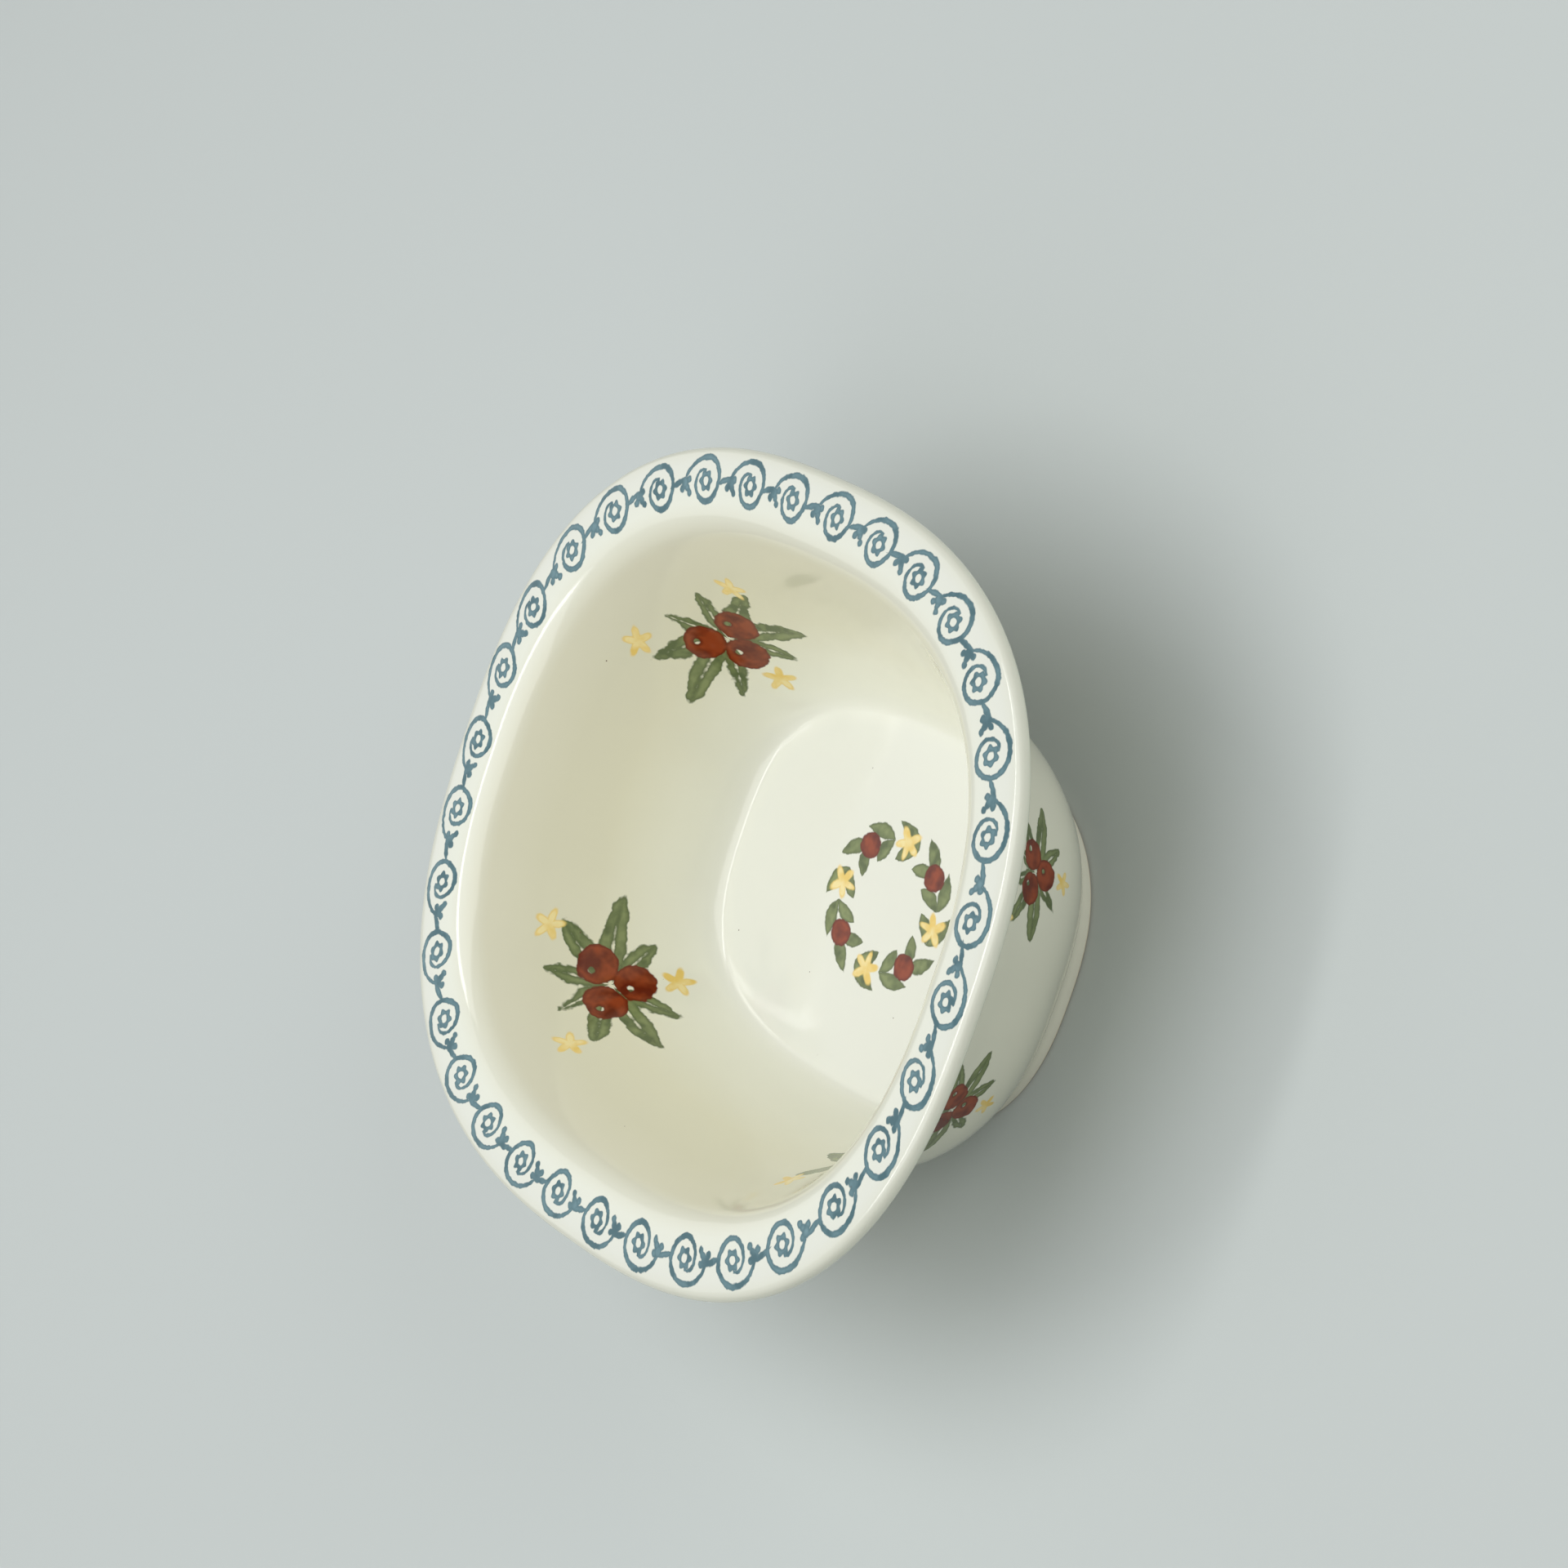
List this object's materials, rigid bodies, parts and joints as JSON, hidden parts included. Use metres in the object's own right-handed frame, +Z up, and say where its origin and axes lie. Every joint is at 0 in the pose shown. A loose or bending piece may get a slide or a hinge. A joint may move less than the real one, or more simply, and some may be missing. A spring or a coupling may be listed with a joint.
{
  "type": "pie dish",
  "caption": "Deep oval-rectangular earthenware pie dish with a wide flat rim, sloping curved walls, a flat floor and a low foot ring; open at the top, glazed inside and out.",
  "frame": {"origin": "centre of the dish on the table plane, under the foot ring", "axes": "+Z up out of the bowl, +X along the dish's length, +Y along its width"},
  "size_m": [0.27, 0.228, 0.076],
  "materials": {
    "glaze": "clear gloss glaze over cream earthenware, with a sponge-printed slate blue border and painted motifs under the glaze"
  },
  "bodies": {
    "root": {"dish": "glaze"}
  },
  "joints": []
}
